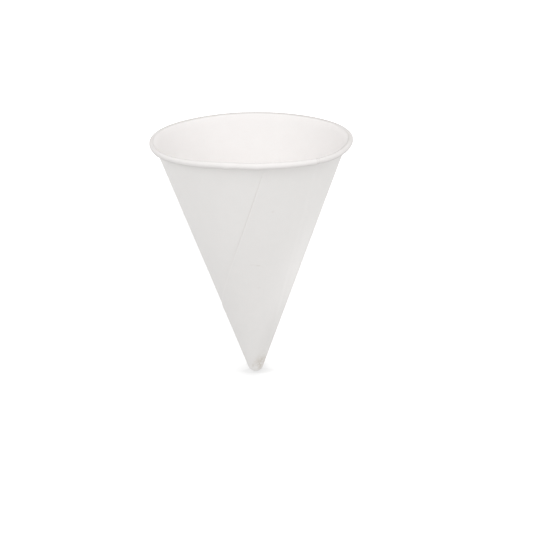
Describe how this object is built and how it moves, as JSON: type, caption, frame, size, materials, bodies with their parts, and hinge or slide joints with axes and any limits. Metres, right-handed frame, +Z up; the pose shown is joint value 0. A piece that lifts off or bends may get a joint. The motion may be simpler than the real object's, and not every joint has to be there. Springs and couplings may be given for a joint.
{
  "type": "cone paper cup",
  "caption": "Plain white cone-shaped paper cup with a rolled rim and a lapped side seam, for a drink of water; it lies on its side unless held.",
  "frame": {"origin": "on the surface it lies on, under the middle of its box", "axes": "+Y towards the mouth, -Y towards the nose, +Z up; the side with the lapped edge faces up"},
  "size_m": [0.073, 0.1006, 0.0681],
  "materials": {
    "paper": "matte uncoated white paper"
  },
  "bodies": {
    "root": {"cone_cup": "paper"}
  },
  "joints": []
}
